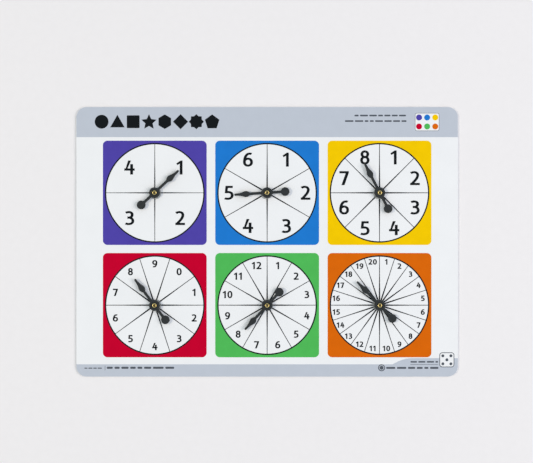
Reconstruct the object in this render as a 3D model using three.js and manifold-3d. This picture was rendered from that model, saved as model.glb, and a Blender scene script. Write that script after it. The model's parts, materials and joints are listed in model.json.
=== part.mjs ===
// A4 game spinner board: six printed dials, each with a free-spinning pointer on a brass eyelet.
//
// Frame: millimetres, +Z up, X along the board's long side, Y towards its top edge. The origin is at the
// centre of the board's outline, on the plane that the eyelets' back flanges rest on.

import * as THREE from 'three';
import { mergeVertices } from 'three/addons/utils/BufferGeometryUtils.js';
import Module from 'manifold-3d';

// ---- Driving dimensions --------------------------------------------------------------------------------

const BOARD = { width: 297, height: 210, thickness: 1, cornerRadius: 8.2, holeRadius: 1.4 };

// Two rows of three dials, spaced evenly both ways. The grid's middle sits a little below the board's.
const DIAL_PITCH = 87.4;
const DIAL_GRID_MIDDLE_Y = -5.6;

// The pieces on one eyelet, from the lowest up.
const BACK_FLANGE = { radius: 2.5, thickness: 0.2 };
const BACK_WASHER = { outerRadius: 4, innerRadius: 1.4, thickness: 0.2 };
const GLIDE_WASHER = { outerRadius: 4.5, innerRadius: 2.05, thickness: 0.5 };
const HUB = { radius: 4.15, height: 2.6, boreRadius: 1.33, counterboreRadius: 2.65, counterboreDepth: 0.7 };
const EYELET = { tubeRadius: 1.25, boreRadius: 0.95, rimRadius: 1.75, rimHeight: 0.75, rimSlack: 0.1 };

// The pointer's arms: a plain shaft both ways from the hub, an arrow head and a round tail.
const ARM = { width: 2.1, thickness: 1.3, lift: 1 };
const ARROW = {
  barbStart: 13.5,
  widest: 16.4,
  halfWidth: 2.35,
  neck: 23,
  neckHalfWidth: 0.9,
  tip: 25.55,
  tipRadius: 0.82,
};
const TAIL = { centre: 14, radius: 3.35 };

// Each dial's place in the grid, the way its pointer lies, and the way its loose washer has slipped.
const DIALS = [
  { colour: 'purple', column: -1, row: 1, pointing: 42.7, washerSlip: 0.7, washerSlipTowards: -40 },
  { colour: 'blue', column: 0, row: 1, pointing: 183.6, washerSlip: 0.65, washerSlipTowards: -135 },
  { colour: 'yellow', column: 1, row: 1, pointing: 117.5, washerSlip: 0.65, washerSlipTowards: -130 },
  { colour: 'red', column: -1, row: -1, pointing: 127, washerSlip: 0.65, washerSlipTowards: -5 },
  { colour: 'green', column: 0, row: -1, pointing: 227.5, washerSlip: 0.3, washerSlipTowards: 60 },
  { colour: 'orange', column: 1, row: -1, pointing: 133.9, washerSlip: 0.7, washerSlipTowards: 175 },
];

// ---- Heights worked out from the stack -----------------------------------------------------------------

const backWasherBottom = BACK_FLANGE.thickness;
const boardBottom = backWasherBottom + BACK_WASHER.thickness;
const boardTop = boardBottom + BOARD.thickness;
const hubBottom = boardTop + GLIDE_WASHER.thickness;
const hubTop = hubBottom + HUB.height;
const counterboreFloor = hubTop - HUB.counterboreDepth;
const rimBottom = counterboreFloor + EYELET.rimSlack;
const rimTop = rimBottom + EYELET.rimHeight;

const ROUND_SEGMENTS = 24;
const CURVE_DIVISIONS = 6;
const BEYOND_FACE = 1;

// ---- Materials -----------------------------------------------------------------------------------------

const makeMaterial = (color, roughness, metalness = 0) =>
  new THREE.MeshStandardMaterial({ color, roughness, metalness });

const boardMaterial = () => makeMaterial(0xedf0f3, 0.5);
const pointerMaterial = () => makeMaterial(0x34383a, 0.45);
const eyeletMaterial = () => makeMaterial(0xb8963c, 0.3, 1);
const backWasherMaterial = () => makeMaterial(0xb4b8bc, 0.35, 1);

function glideWasherMaterial() {
  const material = makeMaterial(0xe6ebe9, 0.4);
  material.transparent = true;
  material.opacity = 0.5;
  return material;
}

// ---- Solid helpers -------------------------------------------------------------------------------------

const wasm = await Module();
wasm.setup();

function toSolid(geometry) {
  const bare = geometry.clone();
  bare.deleteAttribute('normal');
  bare.deleteAttribute('uv');
  const merged = mergeVertices(bare);
  return new wasm.Manifold(new wasm.Mesh({
    numProp: 3,
    vertProperties: new Float32Array(merged.attributes.position.array),
    triVerts: new Uint32Array(merged.index.array),
  }));
}

function toGeometry(solid) {
  const mesh = solid.getMesh();
  const geometry = new THREE.BufferGeometry();
  geometry.setAttribute('position', new THREE.BufferAttribute(mesh.vertProperties, 3));
  geometry.setIndex(new THREE.BufferAttribute(mesh.triVerts, 1));
  geometry.computeVertexNormals();
  return geometry;
}

function extrudeShape(shape, bottom, top) {
  const geometry = new THREE.ExtrudeGeometry(shape, {
    depth: top - bottom,
    bevelEnabled: false,
    curveSegments: CURVE_DIVISIONS,
  });
  return geometry.translate(0, 0, bottom);
}

function uprightCylinder(radius, bottom, top, x = 0, y = 0) {
  const geometry = new THREE.CylinderGeometry(radius, radius, top - bottom, ROUND_SEGMENTS);
  return geometry.rotateX(Math.PI / 2).translate(x, y, (bottom + top) / 2);
}

// Turns a closed profile of [radius, height] points about the Z axis.
function turnedRing(profile) {
  const points = profile.map(([radius, height]) => new THREE.Vector2(radius, height));
  points.push(points[0].clone());
  return new THREE.LatheGeometry(points, ROUND_SEGMENTS).rotateX(Math.PI / 2);
}

function flatRing(outerRadius, innerRadius, bottom, top) {
  return turnedRing([
    [innerRadius, bottom],
    [outerRadius, bottom],
    [outerRadius, top],
    [innerRadius, top],
  ]);
}

// ---- Places --------------------------------------------------------------------------------------------

const dialCentre = (dial) => [
  dial.column * DIAL_PITCH,
  DIAL_GRID_MIDDLE_Y + dial.row * DIAL_PITCH / 2,
];

function named(name, geometry, material) {
  const mesh = new THREE.Mesh(geometry, material);
  mesh.name = name;
  return mesh;
}

// ---- Board ---------------------------------------------------------------------------------------------

function roundedRectangle(width, height, radius) {
  const right = width / 2;
  const top = height / 2;
  const shape = new THREE.Shape();
  shape.absarc(right - radius, top - radius, radius, 0, Math.PI / 2);
  shape.absarc(radius - right, top - radius, radius, Math.PI / 2, Math.PI);
  shape.absarc(radius - right, radius - top, radius, Math.PI, 1.5 * Math.PI);
  shape.absarc(right - radius, radius - top, radius, 1.5 * Math.PI, 2 * Math.PI);
  return shape;
}

function boardGeometry() {
  const outline = roundedRectangle(BOARD.width, BOARD.height, BOARD.cornerRadius);
  let solid = toSolid(extrudeShape(outline, boardBottom, boardTop));
  for (const dial of DIALS) {
    const [x, y] = dialCentre(dial);
    const drill = uprightCylinder(BOARD.holeRadius, boardBottom - BEYOND_FACE, boardTop + BEYOND_FACE, x, y);
    solid = solid.subtract(toSolid(drill));
  }
  return toGeometry(solid);
}

// ---- Pieces on each eyelet, about their own axis --------------------------------------------------------

// The tube passes up through everything. Its rolled rim bulges over the hub's counterbore floor.
function eyeletGeometry() {
  const rimMiddle = (rimBottom + rimTop) / 2;
  const rollInset = (EYELET.rimRadius - EYELET.tubeRadius) / 2;
  return turnedRing([
    [EYELET.boreRadius, 0],
    [BACK_FLANGE.radius, 0],
    [BACK_FLANGE.radius, BACK_FLANGE.thickness],
    [EYELET.tubeRadius, BACK_FLANGE.thickness],
    [EYELET.tubeRadius, rimBottom],
    [EYELET.rimRadius - rollInset, rimBottom],
    [EYELET.rimRadius, rimMiddle],
    [EYELET.rimRadius - rollInset, rimTop],
    [EYELET.boreRadius, rimMiddle],
  ]);
}

// The arrow arm's +Y side, from the hub's middle out to the end of the tip: a plain shaft, a round barb,
// a hollow taper and a round point.
function arrowSide() {
  const taper = ARROW.neck - ARROW.widest;
  const shoulder = ARROW.barbStart + 0.4 * (ARROW.widest - ARROW.barbStart);
  const side = new THREE.Path();
  side.moveTo(0, ARM.width / 2);
  side.lineTo(ARROW.barbStart, ARM.width / 2);
  side.quadraticCurveTo(shoulder, ARROW.halfWidth, ARROW.widest, ARROW.halfWidth);
  side.bezierCurveTo(
    ARROW.widest + 0.23 * taper, ARROW.halfWidth,
    ARROW.widest + 0.44 * taper, 1.15 * ARROW.neckHalfWidth,
    ARROW.neck, ARROW.neckHalfWidth,
  );
  side.absarc(ARROW.tip - ARROW.tipRadius, 0, ARROW.tipRadius, Math.PI / 2, 0, true);
  return side.getPoints(CURVE_DIVISIONS);
}

function arrowShape() {
  const side = arrowSide();
  const otherSide = side.slice(0, -1).reverse().map((point) => new THREE.Vector2(point.x, -point.y));
  return new THREE.Shape([...side, ...otherSide]);
}

function tailShaft() {
  const halfShaft = ARM.width / 2;
  return new THREE.Shape([
    new THREE.Vector2(0, -halfShaft),
    new THREE.Vector2(0, halfShaft),
    new THREE.Vector2(-TAIL.centre, halfShaft),
    new THREE.Vector2(-TAIL.centre, -halfShaft),
  ]);
}

// The pointer lies along +X. Its arms stand clear of the board, part of the way up the hub.
function pointerGeometry() {
  const armBottom = hubBottom + ARM.lift;
  const armTop = armBottom + ARM.thickness;
  const pieces = [
    uprightCylinder(HUB.radius, hubBottom, hubTop),
    extrudeShape(arrowShape(), armBottom, armTop),
    extrudeShape(tailShaft(), armBottom, armTop),
    uprightCylinder(TAIL.radius, armBottom, armTop, -TAIL.centre),
  ];
  const cuts = [
    uprightCylinder(HUB.boreRadius, hubBottom - BEYOND_FACE, hubTop + BEYOND_FACE),
    uprightCylinder(HUB.counterboreRadius, counterboreFloor, hubTop + BEYOND_FACE),
  ];
  const whole = pieces.map(toSolid).reduce((joined, piece) => joined.add(piece));
  return toGeometry(cuts.map(toSolid).reduce((left, cut) => left.subtract(cut), whole));
}

// The board's own pieces are placed without turning. The loose washer is off its axis by its slip.
function dialPieces(dial) {
  const [x, y] = dialCentre(dial);
  const slipAngle = THREE.MathUtils.degToRad(dial.washerSlipTowards);
  const eyelet = named(`${dial.colour}_eyelet`, eyeletGeometry(), eyeletMaterial());
  const backWasher = named(
    `${dial.colour}_back_washer`,
    flatRing(BACK_WASHER.outerRadius, BACK_WASHER.innerRadius, backWasherBottom, boardBottom),
    backWasherMaterial(),
  );
  const glideWasher = named(
    `${dial.colour}_glide_washer`,
    flatRing(GLIDE_WASHER.outerRadius, GLIDE_WASHER.innerRadius, boardTop, hubBottom),
    glideWasherMaterial(),
  );
  glideWasher.position.set(
    dial.washerSlip * Math.cos(slipAngle),
    dial.washerSlip * Math.sin(slipAngle),
    0,
  );
  const pointer = named(`${dial.colour}_pointer`, pointerGeometry(), pointerMaterial());
  pointer.rotation.z = THREE.MathUtils.degToRad(dial.pointing);

  const group = new THREE.Group();
  group.position.set(x, y, 0);
  group.add(backWasher, eyelet, glideWasher, pointer);
  return group;
}

// ---- The whole spinner ---------------------------------------------------------------------------------

const spinner = new THREE.Group();
spinner.add(named('board', boardGeometry(), boardMaterial()));
for (const dial of DIALS) {
  spinner.add(dialPieces(dial));
}

export default spinner;
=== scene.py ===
"""The looks of the six-dial game spinner: printed board, moulded pointers, brass eyelets and washers.

Written-out lengths are in millimetres, and MM turns them into Blender's metres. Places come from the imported
frame: each dial's axis is its pointer's joint, and each pointer lies the way its CAD solid does.
"""

import json
import math
import random

import bmesh
import bpy
from mathutils import Matrix, Vector
from mathutils.geometry import delaunay_2d_cdt


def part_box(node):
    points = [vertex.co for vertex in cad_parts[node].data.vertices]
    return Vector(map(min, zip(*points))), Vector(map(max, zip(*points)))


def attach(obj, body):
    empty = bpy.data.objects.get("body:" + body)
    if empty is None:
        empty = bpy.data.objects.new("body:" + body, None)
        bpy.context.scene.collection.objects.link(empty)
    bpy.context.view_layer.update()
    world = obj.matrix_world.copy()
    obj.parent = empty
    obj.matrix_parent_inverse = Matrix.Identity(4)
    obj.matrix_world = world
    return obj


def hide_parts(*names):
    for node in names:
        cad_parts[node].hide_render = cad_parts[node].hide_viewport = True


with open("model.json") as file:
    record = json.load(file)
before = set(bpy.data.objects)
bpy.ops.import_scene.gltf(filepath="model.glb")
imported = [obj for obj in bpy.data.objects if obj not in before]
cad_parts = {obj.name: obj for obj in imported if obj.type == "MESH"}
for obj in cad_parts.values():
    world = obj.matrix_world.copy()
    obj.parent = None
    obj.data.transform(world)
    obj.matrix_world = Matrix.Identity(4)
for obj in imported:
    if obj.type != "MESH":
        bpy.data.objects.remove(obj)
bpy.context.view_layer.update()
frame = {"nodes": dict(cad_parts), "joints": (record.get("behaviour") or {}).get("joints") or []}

MM = 0.001
ROOT_BODY = "board"

# ---- Sizes, in millimetres ----

BOARD_CORNER = 8.2
BOARD_HOLE = 1.4
BOARD_EDGE_ROUND = 0.2
INK_THICKNESS = 0.02

DIAL_SQUARE = (80.7, 81.1)
DIAL_SQUARE_CORNER = 3.6
DIAL_RADIUS = 38.25
DIAL_RING_WIDTH = 1.05

# Sector lines start under the hub and thin out towards the rim, at these (distance, width) pairs.
LINE_STATIONS = [(1.75, 1.16), (12.0, 0.96), (24.0, 0.61), (DIAL_RADIUS, 0.5)]
FINER_LINES = {"purple": 0.84}
INK_SPREAD = 0.15

HEADER_BOTTOM = 81.4
FOOTER_TOP = -95.3
FOOTER_TAB_TOP = -90.5
FOOTER_TAB_START = 97.6
FOOTER_TAB_END = 113.5

HUB_RADIUS = 4.15
HUB_BORE = 1.33
HUB_COUNTERBORE = 2.65
HUB_COUNTERBORE_DEPTH = 0.7
HUB_LIP = 0.15
ARM_HALF_WIDTH = 1.05
ARM_THICKNESS = 1.3
ARM_LIFT = 1.0
ARM_ROOT_INSIDE = 3.2
ARM_ROOT_FLARE = 0.3
ARM_ROOT_FLARE_LENGTH = 1.4
BARB_START = 13.5
BARB_WIDEST = 16.4
BARB_HALF_WIDTH = 2.35
NECK = 23.0
NECK_HALF_WIDTH = 0.9
TIP = 25.55
TIP_RADIUS = 0.82
TAIL_CENTRE = 14.0
TAIL_RADIUS = 3.35
TAIL_FILLET = 0.5
MOULD_ROUND = 0.28

EYELET_TUBE = 1.25
EYELET_WALL = 0.3
EYELET_RIM = 1.75
EYELET_RIM_HEIGHT = 0.75
EYELET_FLANGE = 2.5
EYELET_FLANGE_THICKNESS = 0.2
EYELET_FLANGE_ROUND = 0.08
EYELET_FUNNEL = 0.45
RIM_PETALS = 8
PETAL_DEPTH = 0.09

BACK_WASHER_HOLE = 1.4
GLIDE_WASHER_HOLE = 2.05
BACK_WASHER_ROUND = 0.08
GLIDE_WASHER_ROUND = 0.2

# Each dial reads clockwise from the sector at first_at, in degrees anticlockwise from +X. Its numbers stand
# on a circle of the given radius.
DIALS = {
    "purple": {"numbers": range(1, 5), "first_at": 45, "height": 10.9, "radius": 27.8},
    "blue": {"numbers": range(1, 7), "first_at": 60, "height": 10.9, "radius": 29.8},
    "yellow": {"numbers": range(1, 9), "first_at": 67.5, "height": 10.9, "radius": 29.8},
    "red": {"numbers": [9, *range(9)], "first_at": 90, "height": 5.65, "radius": 32.2},
    "green": {"numbers": range(1, 13), "first_at": 75, "height": 5.65, "radius": 31.9},
    "orange": {"numbers": range(1, 21), "first_at": 81, "height": 4.3, "radius": 34.1},
}

# ---- Colours, as 8-bit sRGB ----

DIAL_COLOURS = {
    "purple": (78, 67, 165),
    "blue": (31, 120, 206),
    "yellow": (241, 199, 0),
    "red": (195, 0, 45),
    "green": (79, 183, 88),
    "orange": (215, 102, 8),
}
BAND_GREY = (188, 196, 208)
BOARD_WHITE = (239, 242, 245)
PRINT_BLACK = (22, 26, 29)
FINE_PRINT_GREY = (84, 90, 99)
POINTER_CHARCOAL = (38, 42, 44)
BRASS_BRIGHT = (247, 229, 160)
BRASS_STREAK = (222, 188, 102)
BRASS_TARNISH = (176, 148, 74)
STEEL_PALE = (196, 199, 204)
STEEL_DULL = (168, 172, 178)
NYLON_COOL = (222, 228, 226)
NYLON_WARM = (236, 238, 234)
# The next colour is painted shade on the nylon washers' rounded rims, where the rim bends the light away.
NYLON_RIM_SHADE = (92, 99, 103)
FLOOR_WHITE = (237, 236, 238)

# ---- Outlines in the plane ----

CIRCLE_STEPS = 160
TURNED_STEPS = 96
SMALL_CIRCLE_STEPS = 48
CORNER_STEPS = 12
SMALL_ARC_STEPS = 8


def arc(x, y, radius, start, end, steps):
    """Points along a circular arc, with both ends, from one angle in degrees to another."""
    angles = [math.radians(start + (end - start) * i / steps) for i in range(steps + 1)]
    return [(x + radius * math.cos(a), y + radius * math.sin(a)) for a in angles]


def circle(x, y, radius, steps=CIRCLE_STEPS):
    return arc(x, y, radius, 0, 360, steps)[:-1]


def rectangle(left, bottom, right, top):
    return [(left, bottom), (right, bottom), (right, top), (left, top)]


def rounded_rectangle(left, bottom, right, top, radius, steps=CORNER_STEPS):
    corners = [
        (right - radius, top - radius, 0),
        (left + radius, top - radius, 90),
        (left + radius, bottom + radius, 180),
        (right - radius, bottom + radius, 270),
    ]
    return [point for x, y, start in corners for point in arc(x, y, radius, start, start + 90, steps)]


def regular_polygon(x, y, radius, sides, first_at=90):
    return arc(x, y, radius, first_at, first_at + 360, sides)[:-1]


def star(x, y, radius, points, inner_share=0.45):
    outer = regular_polygon(x, y, radius, points)
    inner = regular_polygon(x, y, radius * inner_share, points, 90 + 180 / points)
    return [point for pair in zip(outer, inner) for point in pair]


def bezier(start, first_handle, second_handle, end, steps):
    """Points and tangents along one cubic curve, without its last point."""
    corners = [Vector(p) for p in (start, first_handle, second_handle, end)]
    a, b, c, d = corners
    samples = []
    for i in range(steps):
        t = i / steps
        s = 1 - t
        point = a * s**3 + b * (3 * s * s * t) + c * (3 * s * t * t) + d * t**3
        tangent = (b - a) * (s * s) + (c - b) * (2 * s * t) + (d - c) * (t * t)
        samples.append((point, tangent))
    return samples


def signed_area(points):
    following = points[1:] + points[:1]
    return sum(a[0] * b[1] - b[0] * a[1] for a, b in zip(points, following)) / 2


def anticlockwise(points):
    points = list(points)
    return points if signed_area(points) > 0 else points[::-1]


MERGE_DISTANCE = 1e-5
TRIANGLES_INSIDE = 1


def region(outlines, keep=bool):
    """Triangulates overlapping outlines together. keep() is given the outlines that a triangle lies in."""
    points = []
    faces = []
    for outline in outlines:
        first = len(points)
        points += [Vector((p[0], p[1])) for p in anticlockwise(outline)]
        faces.append(list(range(first, len(points))))
    flat = delaunay_2d_cdt(points, [], faces, TRIANGLES_INSIDE, MERGE_DISTANCE)
    triangles = [tuple(t) for t, inside in zip(flat[2], flat[5]) if keep(set(inside))]
    return [tuple(p) for p in flat[0]], triangles


def cut_region(outline, holes):
    """The region of one outline without its holes."""
    return region([outline, *holes], lambda inside: inside == {0})


def placed(flat, x, y, scale=1.0):
    points, triangles = flat
    return [(x + scale * px, y + scale * py) for px, py in points], triangles


# ---- Solids ----


class Solid:
    """Points in millimetres and faces, joined up from simple closed solids."""

    def __init__(self):
        self.points = []
        self.faces = []

    def add(self, points, faces):
        first = len(self.points)
        self.points += [tuple(p) for p in points]
        self.faces += [tuple(first + i for i in face) for face in faces]

    def add_prism(self, flat, bottom, top):
        """A flat slab over a region, closed all round."""
        points, triangles = flat
        used = sorted({i for triangle in triangles for i in triangle})
        order = {old: new for new, old in enumerate(used)}
        count = len(used)
        corners = [(points[i][0], points[i][1], top) for i in used]
        corners += [(points[i][0], points[i][1], bottom) for i in used]
        tops = [tuple(order[i] for i in triangle) for triangle in triangles]
        edges = {(t[i], t[(i + 1) % 3]) for t in tops for i in range(3)}
        rim = [(a, b) for a, b in edges if (b, a) not in edges]
        walls = [(a + count, b + count, b, a) for a, b in sorted(rim)]
        undersides = [tuple(i + count for i in reversed(t)) for t in tops]
        self.add(corners, tops + undersides + walls)

    def add_turned(self, profile, segments, reach=None):
        """A closed (radius, height) profile turned about Z. reach() may change a radius by its angle."""
        rings = len(profile)
        points = []
        for i in range(segments):
            angle = 2 * math.pi * i / segments
            for radius, height in profile:
                length = radius if reach is None else reach(radius, height, angle)
                points.append((length * math.cos(angle), length * math.sin(angle), height))
        faces = []
        for i in range(segments):
            here = i * rings
            there = (i + 1) % segments * rings
            for j in range(rings):
                k = (j + 1) % rings
                faces.append((here + j, there + j, there + k, here + k))
        self.add(points, faces)


def outward_normals(points):
    """Corner normals of an anticlockwise outline, lengthened at corners so that an inset keeps its width."""
    normals = []
    count = len(points)
    for i, point in enumerate(points):
        here = Vector(point)
        before = (here - Vector(points[i - 1])).normalized()
        after = (Vector(points[(i + 1) % count]) - here).normalized()
        along = (before + after).normalized()
        lengthening = 1 / max(along.dot(before), 0.5)
        normals.append(Vector((along.y, -along.x)) * lengthening)
    return normals


ROUND_STEPS = 4


def rounded_stack(bottom, top, radius, support):
    """(inset, height) pairs down the side of a slab: a flat margin, a rounded edge, and the same below."""
    angles = [math.pi / 2 * (1 - i / ROUND_STEPS) for i in range(ROUND_STEPS + 1)]
    upper = [(radius * (1 - math.cos(a)), top - radius * (1 - math.sin(a))) for a in angles]
    lower = [(inset, bottom + top - height) for inset, height in reversed(upper)]
    return [(support, top), *upper, *lower, (support, bottom)]


def rounded_slab(outline, holes, bottom, top, radius, support):
    """A slab with rounded edges, outside and round its holes."""
    outer = anticlockwise(outline)
    loops = [(outer, outward_normals(outer))]
    for hole in holes:
        ring = anticlockwise(hole)
        loops.append((ring[::-1], outward_normals(ring[::-1])))
    stack = rounded_stack(bottom, top, radius, support)
    solid = Solid()
    flats = []
    for points, normals in loops:
        rows = []
        for inset, height in stack:
            row = [Vector(p) - n * inset for p, n in zip(points, normals)]
            rows.append([(p.x, p.y, height) for p in row])
        count = len(points)
        faces = []
        for j in range(len(rows) - 1):
            for i in range(count):
                k = (i + 1) % count
                above = j * count
                below = (j + 1) * count
                faces.append((below + i, below + k, above + k, above + i))
        solid.add([p for row in rows for p in row], faces)
        flats.append([(x, y) for x, y, _ in rows[0]])
    points, triangles = cut_region(flats[0], flats[1:])
    solid.add([(x, y, top) for x, y in points], triangles)
    solid.add([(x, y, bottom) for x, y in points], [t[::-1] for t in triangles])
    return solid


WELD_DISTANCE = 1e-7
SMOOTH_UP_TO = math.radians(32)
EYELET_SMOOTH_UP_TO = math.radians(50)


def make_mesh(name, solid, sharp_from=SMOOTH_UP_TO):
    """A welded mesh in metres with outward faces, smooth except at its sharp edges."""
    mesh = bpy.data.meshes.new(name)
    mesh.from_pydata([tuple(c * MM for c in p) for p in solid.points], [], solid.faces)
    work = bmesh.new()
    work.from_mesh(mesh)
    bmesh.ops.remove_doubles(work, verts=work.verts, dist=WELD_DISTANCE)
    work.to_mesh(mesh)
    work.free()
    shade_smooth(mesh, sharp_from)
    return mesh


def shade_smooth(mesh, sharp_from=SMOOTH_UP_TO):
    mesh.polygons.foreach_set("use_smooth", [True] * len(mesh.polygons))
    mesh.set_sharp_from_angle(angle=sharp_from)
    mesh.update()


def store_place(mesh, shift=(0, 0, 0)):
    """Keeps each point's place in millimetres in the piece's own frame, for its material to read."""
    layer = mesh.attributes.new("place", "FLOAT_VECTOR", "POINT")
    values = [c / MM + s for v in mesh.vertices for c, s in zip(v.co, shift)]
    layer.data.foreach_set("vector", values)


def store_wear(mesh):
    """Marks rounded edges, whose normals lean between up and sideways, from 0 to 1."""
    layer = mesh.attributes.new("edge_lean", "FLOAT", "POINT")
    layer.data.foreach_set("value", [4 * n.z**2 * (1 - n.z**2) for n in (v.normal for v in mesh.vertices)])


def add_piece(name, mesh, materials, body, replaces=None):
    piece = bpy.data.objects.new(name, mesh)
    bpy.context.scene.collection.objects.link(piece)
    for material in materials:
        mesh.materials.append(material)
    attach(piece, body)
    if replaces:
        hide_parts(replaces)
    return piece


# ---- Materials ----


def linear(colour):
    """Linear RGBA of an 8-bit sRGB colour."""
    parts = [c / 255 for c in colour]
    return (*[p / 12.92 if p <= 0.04045 else ((p + 0.055) / 1.055) ** 2.4 for p in parts], 1.0)


def scaled(colour, factor):
    return (*[min(c * factor, 1.0) for c in colour[:3]], 1.0)


class NodeTree:
    """An emptied node tree, with short names for the nodes that the materials share."""

    def __init__(self, tree):
        self.tree = tree
        self.tree.nodes.clear()

    def node(self, kind, inputs=(), **settings):
        made = self.tree.nodes.new("ShaderNode" + kind)
        for key, value in settings.items():
            setattr(made, key, value)
        for key, value in dict(inputs).items():
            if isinstance(value, bpy.types.NodeSocket):
                self.tree.links.new(value, made.inputs[key])
            else:
                made.inputs[key].default_value = value
        return made

    def attribute(self, name, output):
        return self.node("Attribute", attribute_name=name).outputs[output]

    def noise(self, scale, detail=2.0, roughness=0.5, place=None):
        """Noise from 0 to 1 with features about 1 / scale millimetres across."""
        vector = place or self.attribute("place", "Vector")
        inputs = {"Vector": vector, "Scale": scale, "Detail": detail, "Roughness": roughness}
        return self.node("TexNoise", inputs).outputs["Fac"]

    def stretch(self, place, scale):
        inputs = {"Vector": place, "Scale": scale}
        return self.node("Mapping", inputs).outputs["Vector"]

    def remap(self, value, low, high, to_low, to_high):
        inputs = {"Value": value, "From Min": low, "From Max": high, "To Min": to_low, "To Max": to_high}
        return self.node("MapRange", inputs).outputs["Result"]

    def maths(self, operation, first, second=0.0):
        return self.node("Math", {0: first, 1: second}, operation=operation).outputs[0]

    def mix(self, factor, first, second):
        inputs = {"Factor": factor, 6: first, 7: second}
        return self.node("Mix", inputs, data_type="RGBA").outputs[2]

    def bump(self, height, depth, normal=None):
        """A bump whose full height is depth millimetres."""
        inputs = {"Height": height, "Strength": 1.0, "Distance": depth * MM}
        if normal is not None:
            inputs["Normal"] = normal
        return self.node("Bump", inputs).outputs["Normal"]

    def principled(self, inputs):
        return self.node("BsdfPrincipled", inputs).outputs["BSDF"]


class MaterialTree(NodeTree):
    """The node tree of a new material."""

    def __init__(self, name):
        self.material = bpy.data.materials.new(name)
        self.material.use_nodes = True
        super().__init__(self.material.node_tree)

    def finish(self, shader):
        self.node("OutputMaterial", {"Surface": shader})
        return self.material


def board_plastic():
    """Satin white sheet: faint mottling, a fine matt grain, and hairline scuffs that show in its gloss."""
    tree = MaterialTree("board_plastic")
    place = tree.attribute("place", "Vector")
    base = linear(BOARD_WHITE)
    mottle = tree.remap(tree.noise(0.05, 3.0), 0.35, 0.65, 0.0, 1.0)
    colour = tree.mix(mottle, scaled(base, 0.965), scaled(base, 0.985))
    specks = tree.remap(tree.noise(1.1, 2.0), 0.72, 0.78, 0.0, 0.25)
    colour = tree.mix(specks, colour, scaled(base, 0.86))
    grain = tree.noise(3.2, 3.0, 0.6)
    scuffs = tree.noise(1.0, 2.0, 0.5, tree.stretch(place, (0.05, 1.6, 1.0)))
    gloss = tree.remap(scuffs, 0.45, 0.7, 0.5, 0.4)
    roughness = tree.maths("ADD", gloss, tree.remap(grain, 0.3, 0.7, -0.04, 0.04))
    normal = tree.bump(grain, 0.012)
    inputs = {"Base Color": colour, "Roughness": roughness, "Normal": normal, "IOR": 1.53}
    return tree.finish(tree.principled(inputs))


def board_edge():
    """The sheet's cut edge: fine saw marks across the thickness and a little handling grime."""
    tree = MaterialTree("board_edge")
    place = tree.attribute("place", "Vector")
    base = linear(BOARD_WHITE)
    grime = tree.remap(tree.noise(0.35, 4.0, 0.65), 0.45, 0.75, 0.0, 1.0)
    colour = tree.mix(grime, scaled(base, 0.95), scaled(base, 0.78))
    marks = tree.noise(1.0, 3.0, 0.6, tree.stretch(place, (7.0, 7.0, 0.6)))
    roughness = tree.remap(marks, 0.3, 0.7, 0.45, 0.68)
    inputs = {"Base Color": colour, "Roughness": roughness, "Normal": tree.bump(marks, 0.03)}
    return tree.finish(tree.principled(inputs))


def ink(name, colour, variation=0.03, roughness=0.5):
    """Screen-printed ink: slightly uneven laydown, a fine grain, and rubbed spots that are a shade paler."""
    tree = MaterialTree(name)
    base = linear(colour)
    laydown = tree.remap(tree.noise(0.12, 4.0, 0.6), 0.35, 0.65, 0.0, 1.0)
    shade = tree.mix(laydown, scaled(base, 1 - variation), scaled(base, 1 + variation))
    grain = tree.noise(4.5, 2.0)
    grained = tree.mix(tree.remap(grain, 0.55, 0.75, 0.0, 0.35), shade, scaled(base, 1 - 3 * variation))
    rubbed = tree.remap(tree.noise(0.9, 3.0, 0.7), 0.7, 0.8, 0.0, 0.06)
    worn = tree.mix(rubbed, grained, linear(BOARD_WHITE))
    gloss = tree.remap(tree.noise(0.3, 3.0), 0.3, 0.7, roughness - 0.06, roughness + 0.06)
    inputs = {
        "Base Color": worn,
        "Roughness": gloss,
        "Normal": tree.bump(grain, 0.006),
        "Specular IOR Level": 0.03,
    }
    return tree.finish(tree.principled(inputs))


def pointer_plastic():
    """Charcoal moulded plastic: spark-eroded texture, faint flow marks, and edges rubbed a shade paler."""
    tree = MaterialTree("pointer_plastic")
    place = tree.attribute("place", "Vector")
    base = linear(POINTER_CHARCOAL)
    flow = tree.noise(0.6, 3.0, 0.5, tree.stretch(place, (0.25, 1.5, 1.0)))
    colour = tree.mix(tree.remap(flow, 0.35, 0.65, 0.0, 1.0), scaled(base, 0.85), scaled(base, 1.15))
    patches = tree.remap(tree.noise(1.3, 4.0, 0.7), 0.35, 0.65, 0.0, 0.6)
    edge_lean = tree.maths("MULTIPLY", tree.attribute("edge_lean", "Fac"), patches)
    colour = tree.mix(edge_lean, colour, scaled(base, 2.6))
    texture = tree.noise(9.0, 3.0, 0.65)
    roughness = tree.remap(texture, 0.3, 0.7, 0.4, 0.56)
    inputs = {
        "Base Color": colour,
        "Roughness": roughness,
        "Normal": tree.bump(texture, 0.03),
        "Specular IOR Level": 0.28,
    }
    return tree.finish(tree.principled(inputs))


def around_axis(tree):
    """A place that runs round the axis, out from it and along it, for marks left by turning tools."""
    parts = tree.node("SeparateXYZ", {"Vector": tree.attribute("place", "Vector")})
    x, y, z = (parts.outputs[axis] for axis in "XYZ")
    radius = tree.maths("SQRT", tree.maths("ADD", tree.maths("MULTIPLY", x, x), tree.maths("MULTIPLY", y, y)))
    angle = tree.maths("ARCTAN2", y, x)
    return tree.node("CombineXYZ", {"X": angle, "Y": radius, "Z": z}).outputs["Vector"]


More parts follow.
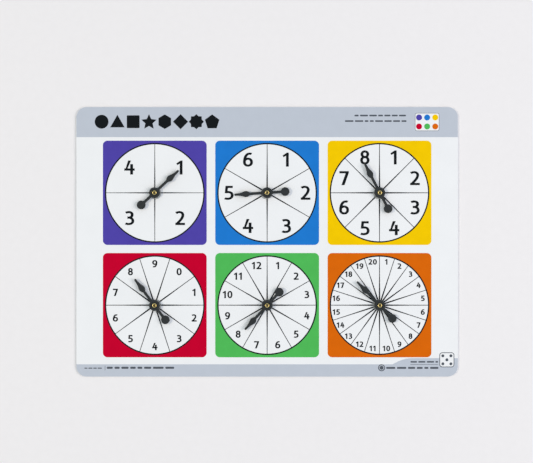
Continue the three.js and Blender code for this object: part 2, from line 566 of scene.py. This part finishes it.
def eyelet_brass():
    """Bright brass, burnished in streaks where the setting tool rolled it, with patches of tarnish."""
    tree = MaterialTree("eyelet_brass")
    turned = around_axis(tree)
    tarnish = tree.remap(tree.noise(1.4, 4.0, 0.65), 0.42, 0.68, 0.0, 0.75)
    streaks = tree.noise(1.0, 3.0, 0.6, tree.stretch(turned, (2.5, 12.0, 12.0)))
    streaked = tree.remap(streaks, 0.35, 0.65, 0.0, 0.3)
    tint = tree.mix(streaked, linear(BRASS_BRIGHT), linear(BRASS_STREAK))
    colour = tree.mix(tarnish, tint, linear(BRASS_TARNISH))
    roughness = tree.remap(streaks, 0.3, 0.7, 0.24, 0.36)
    inputs = {
        "Base Color": colour,
        "Metallic": 1.0,
        "Roughness": roughness,
        "Normal": tree.bump(streaks, 0.01),
    }
    return tree.finish(tree.principled(inputs))


def washer_steel():
    """Zinc-plated steel: rings left by the punch and press, cloudy plating, and a dull satin shine."""
    tree = MaterialTree("washer_steel")
    rings = tree.noise(1.0, 2.0, 0.5, tree.stretch(around_axis(tree), (0.6, 9.0, 3.0)))
    clouds = tree.remap(tree.noise(0.8, 4.0, 0.6), 0.35, 0.65, 0.0, 1.0)
    colour = tree.mix(clouds, linear(STEEL_PALE), linear(STEEL_DULL))
    roughness = tree.remap(rings, 0.3, 0.7, 0.28, 0.48)
    inputs = {
        "Base Color": colour,
        "Metallic": 1.0,
        "Roughness": roughness,
        "Normal": tree.bump(rings, 0.012),
    }
    return tree.finish(tree.principled(inputs))


def washer_nylon():
    """Natural nylon: milky and see-through face on, with painted shade along its rounded rims."""
    tree = MaterialTree("washer_nylon")
    clouds = tree.noise(0.7, 4.0, 0.6)
    texture = tree.noise(6.0, 3.0)
    milk = tree.mix(tree.remap(clouds, 0.3, 0.7, 0.0, 1.0), linear(NYLON_COOL), linear(NYLON_WARM))
    # The rounded rims are painted dark and drawn more solid: painted shade for light that the rim bends away.
    rim = tree.remap(tree.attribute("edge_lean", "Fac"), 0.1, 0.7, 0.0, 1.0)
    colour = tree.mix(rim, milk, linear(NYLON_RIM_SHADE))
    roughness = tree.remap(texture, 0.3, 0.7, 0.3, 0.45)
    normal = tree.bump(texture, 0.01)
    solid = tree.principled({"Base Color": colour, "Roughness": roughness, "Normal": normal, "IOR": 1.53})
    clear = tree.node("BsdfTransparent").outputs["BSDF"]
    facing = tree.node("LayerWeight", {"Blend": 0.35}).outputs["Facing"]
    edge_on = tree.remap(facing, 0.0, 0.8, 0.2, 0.9)
    milky = tree.maths("ADD", edge_on, tree.remap(clouds, 0.3, 0.7, -0.05, 0.05))
    cover = tree.maths("MAXIMUM", milky, rim)
    return tree.finish(tree.node("MixShader", {0: cover, 1: clear, 2: solid}).outputs["Shader"])


# ---- Digits ----

# Each digit is one unit tall. Curved strokes are drawn by an oval pen that is wider across than it is high,
# so that uprights come out heavier than level strokes; straight parts are outlines of their own.
PEN_ACROSS = 0.089
PEN_UP = 0.066
PEN_STEPS = 7
DIGIT_GAP = 0.12
RIGHT_BEARINGS = {1: 0.09}
OVAL_SQUARENESS = 0.6

BOWL_OF_SIX = (0.355, 0.315, 0.262, 0.253)
STEM_OF_SIX = [
    (0.093, 0.3), (0.093, 0.7), (0.25, 0.938), (0.46, 0.938), (0.52, 0.938), (0.575, 0.93), (0.62, 0.912),
]
SIX_WIDTH = 0.71


def oval(x, y, across, up):
    """A closed stroke's curve points round an oval, from its right side."""
    a = across * OVAL_SQUARENESS
    b = up * OVAL_SQUARENESS
    right, top, left, bottom = (x + across, y), (x, y + up), (x - across, y), (x, y - up)
    return [
        right, (x + across, y + b), (x + a, y + up),
        top, (x - a, y + up), (x - across, y + b),
        left, (x - across, y - b), (x - a, y - up),
        bottom, (x + a, y - up), (x + across, y - b),
        right,
    ]


def turned_over(points):
    return [(SIX_WIDTH - x, 1 - y) for x, y in points]


STROKES = {
    0: [oval(0.345, 0.5, 0.257, 0.438)],
    1: [],
    2: [[
        (0.035, 0.862), (0.11, 0.91), (0.19, 0.938), (0.285, 0.938), (0.45, 0.938), (0.54, 0.85),
        (0.54, 0.715), (0.54, 0.52), (0.33, 0.3), (0.105, 0.085),
    ]],
    3: [[
        (0.035, 0.885), (0.11, 0.92), (0.18, 0.938), (0.26, 0.938), (0.42, 0.938), (0.505, 0.86),
        (0.505, 0.75), (0.505, 0.61), (0.4, 0.535), (0.25, 0.535), (0.22, 0.535), (0.18, 0.535),
        (0.15, 0.535),
    ], [
        (0.15, 0.535), (0.18, 0.535), (0.22, 0.535), (0.25, 0.535), (0.43, 0.535), (0.555, 0.44),
        (0.555, 0.29), (0.555, 0.14), (0.42, 0.062), (0.24, 0.062), (0.15, 0.062), (0.08, 0.08),
        (0.015, 0.112),
    ]],
    4: [],
    5: [[
        (0.09, 0.525), (0.14, 0.545), (0.2, 0.557), (0.26, 0.557), (0.45, 0.557), (0.557, 0.47),
        (0.557, 0.315), (0.557, 0.15), (0.42, 0.062), (0.235, 0.062), (0.15, 0.062), (0.08, 0.075),
        (0.015, 0.105),
    ]],
    6: [oval(*BOWL_OF_SIX), STEM_OF_SIX],
    7: [],
    8: [oval(0.33, 0.735, 0.215, 0.203), oval(0.33, 0.292, 0.243, 0.23)],
    9: [turned_over(oval(*BOWL_OF_SIX)), turned_over(STEM_OF_SIX)],
}

STRAIGHTS = {
    1: [[(0.245, 0), (0.42, 0), (0.42, 1), (0.295, 1), (0, 0.8), (0.055, 0.695), (0.245, 0.81)]],
    2: [rectangle(0.0, 0.0, 0.68, 0.136)],
    4: [
        [(0.272, 1), (0.46, 1), (0.205, 0.42), (0, 0.4), (0, 0.285), (0.05, 0.285)],
        rectangle(0.0, 0.285, 0.735, 0.422),
        rectangle(0.43, 0.0, 0.612, 0.735),
    ],
    5: [[(0.08, 1), (0.245, 1), (0.2, 0.49), (0.025, 0.49)], rectangle(0.1, 0.864, 0.585, 1)],
    7: [[(0, 1), (0.67, 1), (0.67, 0.9), (0.354, 0), (0.154, 0), (0.465, 0.867), (0, 0.867)]],
}


def stroke(curve, spread):
    """Triangles swept by the pen along joined cubic curves."""
    pen_across = PEN_ACROSS + spread
    pen_up = PEN_UP + spread
    samples = []
    for i in range(0, len(curve) - 1, 3):
        samples += bezier(*curve[i:i + 4], PEN_STEPS)
    samples.append((Vector(curve[-1]), Vector(curve[-1]) - Vector(curve[-2])))
    sides = []
    for point, tangent in samples:
        across = Vector((tangent.y, -tangent.x)).normalized()
        reach = math.hypot(pen_across * across.x, pen_up * across.y)
        offset = Vector((pen_across**2 * across.x, pen_up**2 * across.y)) / reach
        sides.append((point - offset, point + offset))
    triangles = []
    for (left, right), (next_left, next_right) in zip(sides, sides[1:]):
        triangles.append([left, right, next_right])
        triangles.append([left, next_right, next_left])
    return [t for t in triangles if abs(signed_area(t)) > MERGE_DISTANCE**2]


def grown(outline, spread):
    """An outline moved outwards all round, as wet ink spreads."""
    points = anticlockwise(outline)
    return [Vector(p) + n * spread for p, n in zip(points, outward_normals(points))]


def digit_region(digit, spread):
    """The region of one unit-high digit, and its left and right ends. A 1 keeps some room on its right."""
    swept = [t for curve in STROKES[digit] for t in stroke(curve, spread)]
    straight = [grown(outline, spread) for outline in STRAIGHTS.get(digit, [])]
    flat = region(swept + straight)
    across = [p[0] for p in flat[0]]
    return flat, min(across), max(across) + RIGHT_BEARINGS.get(digit, 0.0)


def number_regions(digits, number, x, y, height):
    """The regions of a number's digits, centred on a point."""
    spans = [digits[int(d)] for d in str(number)]
    total = sum(right - left for _, left, right in spans) + DIGIT_GAP * (len(spans) - 1)
    across = x - height * total / 2
    regions = []
    for flat, left, right in spans:
        regions.append(placed(flat, across - height * left, y - height / 2, height))
        across += height * (right - left + DIGIT_GAP)
    return regions


# ---- The printed board ----

board_low, board_high = (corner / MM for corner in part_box("board"))
board_bottom, board_top = board_low.z, board_high.z
ink_top = board_top + INK_THICKNESS
overprint_top = ink_top + INK_THICKNESS


def dial_axis(colour):
    joints = {joint["name"]: joint for joint in frame["joints"]}
    return Vector(joints[f"{colour}_pointer_spin"]["pos_m"][:2]) / MM


def board_outline(inset=0.0):
    edges = (board_low.x + inset, board_low.y + inset, board_high.x - inset, board_high.y - inset)
    return rounded_rectangle(*edges, BOARD_CORNER - inset, 16)


def build_board(face, edge):
    holes = [circle(*dial_axis(colour), BOARD_HOLE, SMALL_CIRCLE_STEPS) for colour in DIALS]
    solid = rounded_slab(board_outline(), holes, board_bottom, board_top, BOARD_EDGE_ROUND, 0.5)
    mesh = make_mesh("printed_board", solid)
    store_place(mesh)
    piece = add_piece("printed_board", mesh, [face, edge], ROOT_BODY, "board")
    for polygon in mesh.polygons:
        polygon.material_index = int(abs(polygon.normal.z) < 0.99)
    return piece


def add_print(name, regions, material, bottom=board_top, top=ink_top):
    solid = Solid()
    for flat in regions:
        solid.add_prism(flat, bottom, top)
    mesh = make_mesh(name, solid)
    store_place(mesh)
    return add_piece(name, mesh, [material], ROOT_BODY)


def sector_line(x, y, angle, weight):
    """A tapering line from under the hub to the dial's ring."""
    along = Vector((math.cos(math.radians(angle)), math.sin(math.radians(angle))))
    across = Vector((-along.y, along.x))
    centre = Vector((x, y))
    left = [centre + along * r + across * (weight * w / 2) for r, w in LINE_STATIONS]
    right = [centre + along * r - across * (weight * w / 2) for r, w in LINE_STATIONS]
    return [tuple(p) for p in left + right[::-1]]


def ring_quads(x, y, radius, width, steps=CIRCLE_STEPS):
    inner = circle(x, y, radius - width / 2, steps)
    outer = circle(x, y, radius + width / 2, steps)
    return [[inner[i], outer[i], outer[(i + 1) % steps], inner[(i + 1) % steps]] for i in range(steps)]


def print_dial(colour, dial, black):
    x, y = dial_axis(colour)
    across, up = DIAL_SQUARE[0] / 2, DIAL_SQUARE[1] / 2
    square = rounded_rectangle(x - across, y - up, x + across, y + up, DIAL_SQUARE_CORNER)
    opening = circle(x, y, DIAL_RADIUS + DIAL_RING_WIDTH / 2)
    frame_ink = ink(f"{colour}_ink", DIAL_COLOURS[colour])
    add_print(f"{colour}_dial_frame", [cut_region(square, [opening])], frame_ink)

    count = len(dial["numbers"])
    step = 360 / count
    weight = FINER_LINES.get(colour, 1.0)
    lines = [sector_line(x, y, dial["first_at"] + step * (i + 0.5), weight) for i in range(count)]
    regions = [region(ring_quads(x, y, DIAL_RADIUS, DIAL_RING_WIDTH) + lines)]
    height = dial["height"] - 2 * INK_SPREAD
    digits = [digit_region(digit, INK_SPREAD / height) for digit in range(10)]
    for i, number in enumerate(dial["numbers"]):
        angle = math.radians(dial["first_at"] - step * i)
        at = (x + dial["radius"] * math.cos(angle), y + dial["radius"] * math.sin(angle))
        regions += number_regions(digits, number, *at, height)
    add_print(f"{colour}_dial_numbers", regions, black)


# ---- Header and footer bands, with plain shapes where a board would carry its titles ----

# Boxes are (left, bottom, right, top).
BADGE = (115.0, 86.2, 133.9, 100.2)
BADGE_CORNER = 1.6
BADGE_LINE = 0.3
BADGE_SPOT = 0.33
DIE = (134.0, -97.6, 145.6, -86.0)
DIE_CORNER = 2.2
DIE_LINE = 0.55
DIE_REACH = 0.27
PIP_RADIUS = 1.15
TITLE_LEFT = -134.4
TITLE_PITCH = 12.28
TITLE_Y = 93.4
TITLE_RADIUS = 5.65

# Lines of fine print, as (left, right, height of the middle, height of the bars).
FINE_PRINT = [
    (67.9, 109.4, 98.2, 1.25),
    (60.5, 109.4, 93.9, 1.25),
    (-142.1, -127.9, -98.3, 0.8),
    (-124.8, -72.3, -98.0, 1.6),
    (111.5, 133.0, -93.4, 1.2),
    (92.5, 133.4, -98.1, 1.5),
]
DIVIDER = (-126.25, -99.9, -125.95, -96.6)
UNDERLINE = (111.5, -95.65, 133.0, -95.35)
TARGET = (89.0, -98.0)
TARGET_SPOT = 1.5
TARGET_RING = 2.35
TARGET_RING_WIDTH = 0.7


def footer_outline():
    """Below the footer's top line, which turns a corner on the right and curves up to a tab."""
    start = (FOOTER_TAB_START, FOOTER_TOP)
    climb = (FOOTER_TAB_START + 4.5, FOOTER_TOP + 2.5)
    level = (FOOTER_TAB_END - 7.0, FOOTER_TAB_TOP)
    end = (FOOTER_TAB_END, FOOTER_TAB_TOP)
    rise = bezier(start, climb, level, end, 14)
    curve = [tuple(point) for point, _ in rise]
    low = board_low.y - 1
    return [
        (board_low.x - 1, low),
        (board_high.x + 1, low),
        (board_high.x + 1, FOOTER_TAB_TOP),
        end,
        *reversed(curve),
        (board_low.x - 1, FOOTER_TOP),
    ]


def print_bands(grey):
    outline = board_outline(BOARD_EDGE_ROUND)
    above = rectangle(board_low.x - 1, HEADER_BOTTOM, board_high.x + 1, board_high.y + 1)
    badge = rounded_rectangle(*BADGE, BADGE_CORNER)
    die = rounded_rectangle(*DIE, DIE_CORNER)
    header = region([outline, above, badge], lambda inside: inside == {0, 1})
    footer = region([outline, footer_outline(), die], lambda inside: inside == {0, 1})
    add_print("header_band", [header], grey)
    add_print("footer_band", [footer], grey)


# Plain shapes in a circle of radius 1.
PLAIN_SHAPES = [
    circle(0, 0, 0.95, 64),
    regular_polygon(0, -0.2, 1.15, 3),
    rounded_rectangle(-0.88, -0.88, 0.88, 0.88, 0.12),
    star(0, -0.06, 1.1, 5, 0.48),
    regular_polygon(0, 0, 1, 6),
    regular_polygon(0, 0, 1.04, 4),
    star(0, 0, 1.04, 8, 0.78),
    regular_polygon(0, -0.05, 1.05, 5),
]


def print_title_shapes(black):
    """A row of bold plain shapes along the header's left."""
    regions = []
    for i, shape in enumerate(PLAIN_SHAPES):
        x = TITLE_LEFT + TITLE_RADIUS + TITLE_PITCH * i
        regions.append(region([[(x + TITLE_RADIUS * px, TITLE_Y + TITLE_RADIUS * py) for px, py in shape]]))
    add_print("header_shapes", regions, black, ink_top, overprint_top)


def greeking(left, right, y, height, seed):
    """A line of short rounded bars in place of fine print."""
    lengths = random.Random(seed)
    bars = []
    x = left
    while x < right - height:
        end = min(x + height * lengths.uniform(2.2, 5.5), right)
        bars.append(rounded_rectangle(x, y - height / 2, end, y + height / 2, 0.49 * height, SMALL_ARC_STEPS))
        x = end + height * 0.8
    return [region([bar]) for bar in bars]


def print_fine_lines(grey):
    """Bars for the fine print, and the rules and the round mark beside it."""
    lines = [bar for seed, line in enumerate(FINE_PRINT, 1) for bar in greeking(*line, seed)]
    lines += [region([rectangle(*DIVIDER)]), region([rectangle(*UNDERLINE)])]
    lines.append(region([circle(*TARGET, TARGET_SPOT, SMALL_CIRCLE_STEPS)]))
    lines.append(region(ring_quads(*TARGET, TARGET_RING, TARGET_RING_WIDTH, SMALL_CIRCLE_STEPS)))
    add_print("fine_lines", lines, grey, ink_top, overprint_top)


def print_badge(inks, grey):
    """A panel of six spots in the dial colours, and its thin outline."""
    left, bottom, right, top = BADGE
    width = (right - left) / 3
    height = (top - bottom) / 2
    for i, (colour, material) in enumerate(inks.items()):
        x = left + width * (i % 3 + 0.5)
        y = top - height * (i // 3 + 0.5)
        spot = circle(x, y, BADGE_SPOT * height, SMALL_CIRCLE_STEPS)
        add_print(f"badge_spot_{colour}", [region([spot])], material)
    add_print("badge_outline", [framed(BADGE, BADGE_CORNER, BADGE_LINE)], grey)


def framed(box, corner, line):
    """The outline of a rounded box, drawn as a line inside it."""
    left, bottom, right, top = box
    inner = rounded_rectangle(left + line, bottom + line, right - line, top - line, corner - line)
    return cut_region(rounded_rectangle(*box, corner), [inner])


def print_die(grey):
    """A plain die showing five, in the footer's corner."""
    left, bottom, right, top = DIE
    x, y = (left + right) / 2, (bottom + top) / 2
    reach = DIE_REACH * (right - left)
    spots = [(0, 0), (-1, -1), (-1, 1), (1, -1), (1, 1)]
    pips = [region([circle(x + reach * i, y + reach * j, PIP_RADIUS, 40)]) for i, j in spots]
    add_print("footer_die", [framed(DIE, DIE_CORNER, DIE_LINE), *pips], grey)


# ---- Pieces on each eyelet, about their own axis ----


def ends(node):
    """The lowest and highest point of a CAD node, in millimetres."""
    low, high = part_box(node)
    return low.z / MM, high.z / MM


def ring_profile(inner, outer, bottom, top, size):
    """A flat ring's profile with all four corners rounded."""
    return [
        *arc(outer - size, bottom + size, size, -90, 0, ROUND_STEPS),
        *arc(outer - size, top - size, size, 0, 90, ROUND_STEPS),
        *arc(inner + size, top - size, size, 90, 180, ROUND_STEPS),
        *arc(inner + size, bottom + size, size, 180, 270, ROUND_STEPS),
    ]


def hub_solid(bottom, top):
    """The hub: rounded outside, bored through, with a counterbore round the eyelet's rim."""
    floor = top - HUB_COUNTERBORE_DEPTH
    profile = [
        *arc(HUB_RADIUS - MOULD_ROUND, bottom + MOULD_ROUND, MOULD_ROUND, -90, 0, ROUND_STEPS),
        *arc(HUB_RADIUS - MOULD_ROUND, top - MOULD_ROUND, MOULD_ROUND, 0, 90, ROUND_STEPS),
        *arc(HUB_COUNTERBORE + HUB_LIP, top - HUB_LIP, HUB_LIP, 90, 180, ROUND_STEPS),
        (HUB_COUNTERBORE, floor + HUB_LIP),
        (HUB_COUNTERBORE - HUB_LIP, floor),
        (HUB_BORE + HUB_LIP, floor),
        (HUB_BORE, floor - HUB_LIP),
        (HUB_BORE, bottom + HUB_LIP),
        (HUB_BORE + HUB_LIP, bottom),
    ]
    solid = Solid()
    solid.add_turned(profile, TURNED_STEPS)
    return solid


def mirrored(side):
    """A closed outline from its +Y side. A point on the X axis has no mirror image."""
    return side + [(x, -y) for x, y in reversed(side) if y > MERGE_DISTANCE]


def flare(toward):
    """The arm's widening where it meets the hub, towards +X or -X."""
    wide = ARM_HALF_WIDTH + ARM_ROOT_FLARE
    start = (toward * ARM_ROOT_INSIDE, wide)
    leave = (toward * (HUB_RADIUS - 0.2), wide - 0.1)
    handle = (toward * (HUB_RADIUS + 0.35 * ARM_ROOT_FLARE_LENGTH), ARM_HALF_WIDTH)
    end = (toward * (HUB_RADIUS + ARM_ROOT_FLARE_LENGTH), ARM_HALF_WIDTH)
    return [start, *[tuple(p) for p, _ in bezier(leave, leave, handle, end, 8)], end]


def arrow_outline():
    """The arrow arm: plain shaft, round barb, hollow taper and round point."""
    taper = NECK - BARB_WIDEST
    shoulder = BARB_START + 0.4 * (BARB_WIDEST - BARB_START)
    barb = bezier(
        (BARB_START - 0.4, ARM_HALF_WIDTH),
        (BARB_START + 0.3, ARM_HALF_WIDTH),
        (shoulder, BARB_HALF_WIDTH),
        (BARB_WIDEST, BARB_HALF_WIDTH),
        14,
    )
    hollow = bezier(
        (BARB_WIDEST, BARB_HALF_WIDTH),
        (BARB_WIDEST + 0.23 * taper, BARB_HALF_WIDTH),
        (BARB_WIDEST + 0.44 * taper, 1.15 * NECK_HALF_WIDTH),
        (NECK, NECK_HALF_WIDTH),
        18,
    )
    side = flare(1)
    side += [tuple(p) for p, _ in barb + hollow]
    side += [(NECK, NECK_HALF_WIDTH), *arc(TIP - TIP_RADIUS, 0, TIP_RADIUS, 88, 0, 12)]
    return mirrored(side)


def tail_outline():
    """The tail arm: plain shaft with a fillet into a round disc."""
    fillet_y = ARM_HALF_WIDTH + TAIL_FILLET
    fillet_x = math.sqrt((TAIL_RADIUS + TAIL_FILLET) ** 2 - fillet_y**2)
    lean = math.degrees(math.atan2(fillet_y, fillet_x))
    side = flare(-1)
    side += arc(fillet_x - TAIL_CENTRE, fillet_y, TAIL_FILLET, 270, 180 + lean, 6)
    side += arc(-TAIL_CENTRE, 0, TAIL_RADIUS, lean, 180, 40)[1:]
    return mirrored(side)


def joined(name, solids):
    """One mesh from overlapping solids."""
    parts = []
    for i, solid in enumerate(solids):
        part = bpy.data.objects.new(f"{name}_part_{i}", make_mesh(f"{name}_part_{i}", solid))
        bpy.context.scene.collection.objects.link(part)
        parts.append(part)
    whole = parts[0]
    for part in parts[1:]:
        union = whole.modifiers.new("union", "BOOLEAN")
        union.operation = "UNION"
        union.solver = "EXACT"
        union.object = part
    depsgraph = bpy.context.evaluated_depsgraph_get()
    mesh = bpy.data.meshes.new_from_object(whole.evaluated_get(depsgraph), depsgraph=depsgraph)
    mesh.name = name
    for part in parts:
        bpy.data.objects.remove(part)
    shade_smooth(mesh)
    return mesh


def pointer_mesh():
    """The pointer along +X about its axis, at its height over the board."""
    bottom, top = ends("purple_pointer")
    arm_bottom = bottom + ARM_LIFT
    arm_top = arm_bottom + ARM_THICKNESS
    arms = [
        rounded_slab(outline, [], arm_bottom, arm_top, MOULD_ROUND, 1.6 * MOULD_ROUND)
        for outline in (arrow_outline(), tail_outline())
    ]
    return joined("pointer", [hub_solid(bottom, top), *arms])


def rolled_rim(rim_bottom):
    """The rolled rim's reach by angle, with the slight waves that setting leaves in it."""

    def reach(radius, height, angle):
        if radius <= EYELET_TUBE or height < rim_bottom:
            return radius
        share = (radius - EYELET_TUBE) / (EYELET_RIM - EYELET_TUBE)
        wave = 0.5 + 0.5 * math.cos(RIM_PETALS * angle)
        return radius - PETAL_DEPTH * share * wave**3

    return reach


def eyelet_mesh():
    """A drawn tube: flat flange below, and above a rim rolled outwards and down."""
    bottom, top = ends("purple_eyelet")
    bore = EYELET_TUBE - EYELET_WALL
    mouth = bore + EYELET_FUNNEL
    flange_top = bottom + EYELET_FLANGE_THICKNESS
    flange_edge = EYELET_FLANGE - EYELET_FLANGE_ROUND
    neck_round = 0.08
    rim_bottom = top - EYELET_RIM_HEIGHT
    roll = EYELET_RIM_HEIGHT / 2
    profile = [
        (mouth, bottom),
        *arc(flange_edge, bottom + EYELET_FLANGE_ROUND, EYELET_FLANGE_ROUND, -90, 0, ROUND_STEPS),
        *arc(flange_edge, flange_top - EYELET_FLANGE_ROUND, EYELET_FLANGE_ROUND, 0, 90, 3),
        (EYELET_TUBE + neck_round, flange_top),
        (EYELET_TUBE, flange_top + neck_round),
        (EYELET_TUBE, rim_bottom + 0.12),
        *arc(EYELET_RIM - roll, top - roll, roll, -80, 110, 14),
        *arc(mouth, top - EYELET_FUNNEL - 0.02, EYELET_FUNNEL, 105, 180, 8),
        (bore, bottom + EYELET_FUNNEL),
        *arc(mouth, bottom + EYELET_FUNNEL, EYELET_FUNNEL, 180, 250, 6),
    ]
    solid = Solid()
    solid.add_turned(profile, TURNED_STEPS, rolled_rim(rim_bottom - 0.01))
    return make_mesh("eyelet", solid, EYELET_SMOOTH_UP_TO)


def washer_mesh(name, node, hole, corner):
    """A washer about its own axis. A glide washer lies on the ink, not on the bare board."""
    low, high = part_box(node)
    outer = (high.x - low.x) / 2 / MM
    bottom, top = low.z / MM, high.z / MM
    if name == "glide_washer":
        bottom = overprint_top + INK_THICKNESS / 2
    solid = Solid()
    solid.add_turned(ring_profile(hole, outer, bottom, top, corner), TURNED_STEPS)
    return make_mesh(name, solid)


def pointing(colour):
    """The angle of the CAD pointer's tip, which is its point furthest from the axis."""
    axis = dial_axis(colour) * MM
    spokes = [Vector(v.co[:2]) - axis for v in frame["nodes"][f"{colour}_pointer"].data.vertices]
    tip = max(spokes, key=lambda spoke: spoke.length)
    return math.atan2(tip.y, tip.x)


# From one dial to the next, round pieces are turned by this many degrees, and every pattern is read this many
# millimetres further on.
TURN_STEP = 67
PATTERN_STEP = 7.0


def placed_copy(mesh, name, x, y, turn, shift):
    """A copy of a mesh at its dial. Its material pattern is shifted, so that no two copies match."""
    copy = mesh.copy()
    copy.name = name
    store_place(copy, shift)
    store_wear(copy)
    copy.transform(Matrix.Translation((x * MM, y * MM, 0)) @ Matrix.Rotation(turn, 4, "Z"))
    return copy


def assemble_dial(colour, index, meshes, materials):
    """The moving pieces and the fixings of one dial, each over its CAD node."""
    x, y = dial_axis(colour)
    low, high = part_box(f"{colour}_glide_washer")
    washer_x, washer_y = (low.x + high.x) / 2 / MM, (low.y + high.y) / 2 / MM
    shift = (0, 0, PATTERN_STEP * index)
    spin = math.radians(TURN_STEP * index)
    rows = [
        ("pointer", x, y, pointing(colour), f"{colour}_spinner", "pointer_plastic"),
        ("eyelet", x, y, spin, ROOT_BODY, "eyelet_brass"),
        ("glide_washer", washer_x, washer_y, spin, f"{colour}_washer", "washer_nylon"),
        ("back_washer", x, y, spin, ROOT_BODY, "washer_steel"),
    ]
    for kind, at_x, at_y, turn, body, slot in rows:
        name = f"{colour}_{kind}"
        mesh = placed_copy(meshes[kind], f"{name}_look", at_x, at_y, turn, shift)
        add_piece(f"{name}_look", mesh, [materials[slot]], body, name)


# ---- Set: floor, light and camera ----

# The camera's height, the floor's sizes and the lights' are in metres, the view and the drop in millimetres.
CAMERA_HEIGHT = 0.75
VIEW_WIDTH = 414.6
VIEW_CENTRE = (-0.5, 8.0)
SENSOR_WIDTH = 36.0
FLOOR_RADIUS = 2.4
FLOOR_FADE_FROM = 0.6
FLOOR_DROP = 0.02

# Each softbox gives its share of the light on the floor. The sky gives the rest, dimmer near the horizon, and
# straight overhead, where a studio has the camera and its rig.
LIGHTS = {
    "left_softbox": {"side": -1, "share": 0.22, "elevation": 48, "size": 0.45, "colour": (1.0, 0.85, 0.6)},
    "right_softbox": {"side": 1, "share": 0.32, "elevation": 41, "size": 1.5, "colour": (1.0, 0.87, 0.8)},
}
SKY_COLOUR = (0.614, 0.698, 0.786, 1.0)
HORIZON_UP_TO = 0.5
HORIZON_DIMMING = 0.3
OVERHEAD_FROM = 0.75
OVERHEAD_DIMMING = 0.5
SOFTBOX_DISTANCE = 2.6


def floor_paper():
    """White paper that fades into the backdrop well away from the object."""
    tree = MaterialTree("floor_paper")
    base = linear(FLOOR_WHITE)
    fibres = tree.node("TexNoise", {"Scale": 900.0, "Detail": 3.0}).outputs["Fac"]
    colour = tree.mix(tree.remap(fibres, 0.3, 0.7, 0.0, 1.0), scaled(base, 0.985), scaled(base, 1.0))
    paper = tree.principled({"Base Color": colour, "Roughness": 0.85, "Specular IOR Level": 0.1})
    place = tree.node("TexCoord").outputs["Object"]
    distance = tree.node("VectorMath", {0: place}, operation="LENGTH").outputs["Value"]
    faded = tree.remap(distance, FLOOR_FADE_FROM, FLOOR_RADIUS, 0.0, 1.0)
    clear = tree.node("BsdfTransparent").outputs["BSDF"]
    return tree.finish(tree.node("MixShader", {0: faded, 1: paper, 2: clear}).outputs["Shader"])


def build_floor():
    mesh = bpy.data.meshes.new("floor")
    rim = circle(0, 0, FLOOR_RADIUS, 96)
    mesh.from_pydata([(x, y, -FLOOR_DROP * MM) for x, y in rim], [], [list(range(len(rim)))])
    floor = bpy.data.objects.new("floor", mesh)
    bpy.context.scene.collection.objects.link(floor)
    mesh.materials.append(floor_paper())


def build_softbox(name, side, share, elevation, size, colour):
    """A square softbox that gives its share of the light at the middle of the floor."""
    rise = math.radians(elevation)
    light = bpy.data.lights.new(name, "AREA")
    light.shape = "SQUARE"
    light.size = size
    light.color = colour
    light.energy = share * (math.pi * SOFTBOX_DISTANCE) ** 2 / math.sin(rise)
    box = bpy.data.objects.new(name, light)
    box.location = (side * SOFTBOX_DISTANCE * math.cos(rise), 0, SOFTBOX_DISTANCE * math.sin(rise))
    box.rotation_euler = (0, side * (math.pi / 2 - rise), 0)
    box.visible_camera = False
    bpy.context.scene.collection.objects.link(box)


def build_sky():
    """Even light from all round, with a plain pale backdrop behind the floor."""
    world = bpy.data.worlds.new("studio")
    bpy.context.scene.world = world
    world.use_nodes = True
    tree = NodeTree(world.node_tree)
    direction = tree.node("TexCoord").outputs["Generated"]
    height = tree.node("SeparateXYZ", {"Vector": direction}).outputs["Z"]
    low = tree.remap(height, 0.0, HORIZON_UP_TO, HORIZON_DIMMING, 1.0)
    strength = tree.maths("MULTIPLY", low, tree.remap(height, OVERHEAD_FROM, 1.0, 1.0, OVERHEAD_DIMMING))
    ambient = tree.node("Background", {"Color": SKY_COLOUR, "Strength": strength}).outputs[0]
    backdrop = tree.node("Background", {"Color": linear(FLOOR_WHITE)}).outputs[0]
    seen = tree.node("LightPath").outputs["Is Camera Ray"]
    sky = tree.node("MixShader", {0: seen, 1: ambient, 2: backdrop}).outputs["Shader"]
    tree.node("OutputWorld", {"Surface": sky})


def build_camera():
    """Straight down over the board, framed a little above its middle."""
    data = bpy.data.cameras.new("camera")
    data.sensor_width = SENSOR_WIDTH
    data.lens = SENSOR_WIDTH * CAMERA_HEIGHT / (VIEW_WIDTH * MM)
    camera = bpy.data.objects.new("camera", data)
    camera.location = (VIEW_CENTRE[0] * MM, VIEW_CENTRE[1] * MM, board_top * MM + CAMERA_HEIGHT)
    bpy.context.scene.collection.objects.link(camera)
    bpy.context.scene.camera = camera


# ---- Build ----


def build_print():
    black = ink("print_black", PRINT_BLACK)
    grey = ink("band_grey", BAND_GREY, 0.012)
    fine = ink("fine_print_grey", FINE_PRINT_GREY)
    print_bands(grey)
    print_title_shapes(black)
    print_fine_lines(fine)
    for colour, dial in DIALS.items():
        print_dial(colour, dial, black)
    inks = {colour: bpy.data.materials[f"{colour}_ink"] for colour in DIALS}
    print_badge(inks, fine)
    print_die(fine)


def build_moving_pieces():
    meshes = {
        "pointer": pointer_mesh(),
        "eyelet": eyelet_mesh(),
        "glide_washer": washer_mesh(
            "glide_washer", "purple_glide_washer", GLIDE_WASHER_HOLE, GLIDE_WASHER_ROUND
        ),
        "back_washer": washer_mesh("back_washer", "purple_back_washer", BACK_WASHER_HOLE, BACK_WASHER_ROUND),
    }
    materials = {
        "pointer_plastic": pointer_plastic(),
        "eyelet_brass": eyelet_brass(),
        "washer_nylon": washer_nylon(),
        "washer_steel": washer_steel(),
    }
    for index, colour in enumerate(DIALS):
        assemble_dial(colour, index, meshes, materials)


bpy.context.scene.view_settings.view_transform = "Standard"
build_camera()
build_floor()
build_sky()
for softbox, settings in LIGHTS.items():
    build_softbox(softbox, **settings)
build_board(board_plastic(), board_edge())
build_print()
build_moving_pieces()
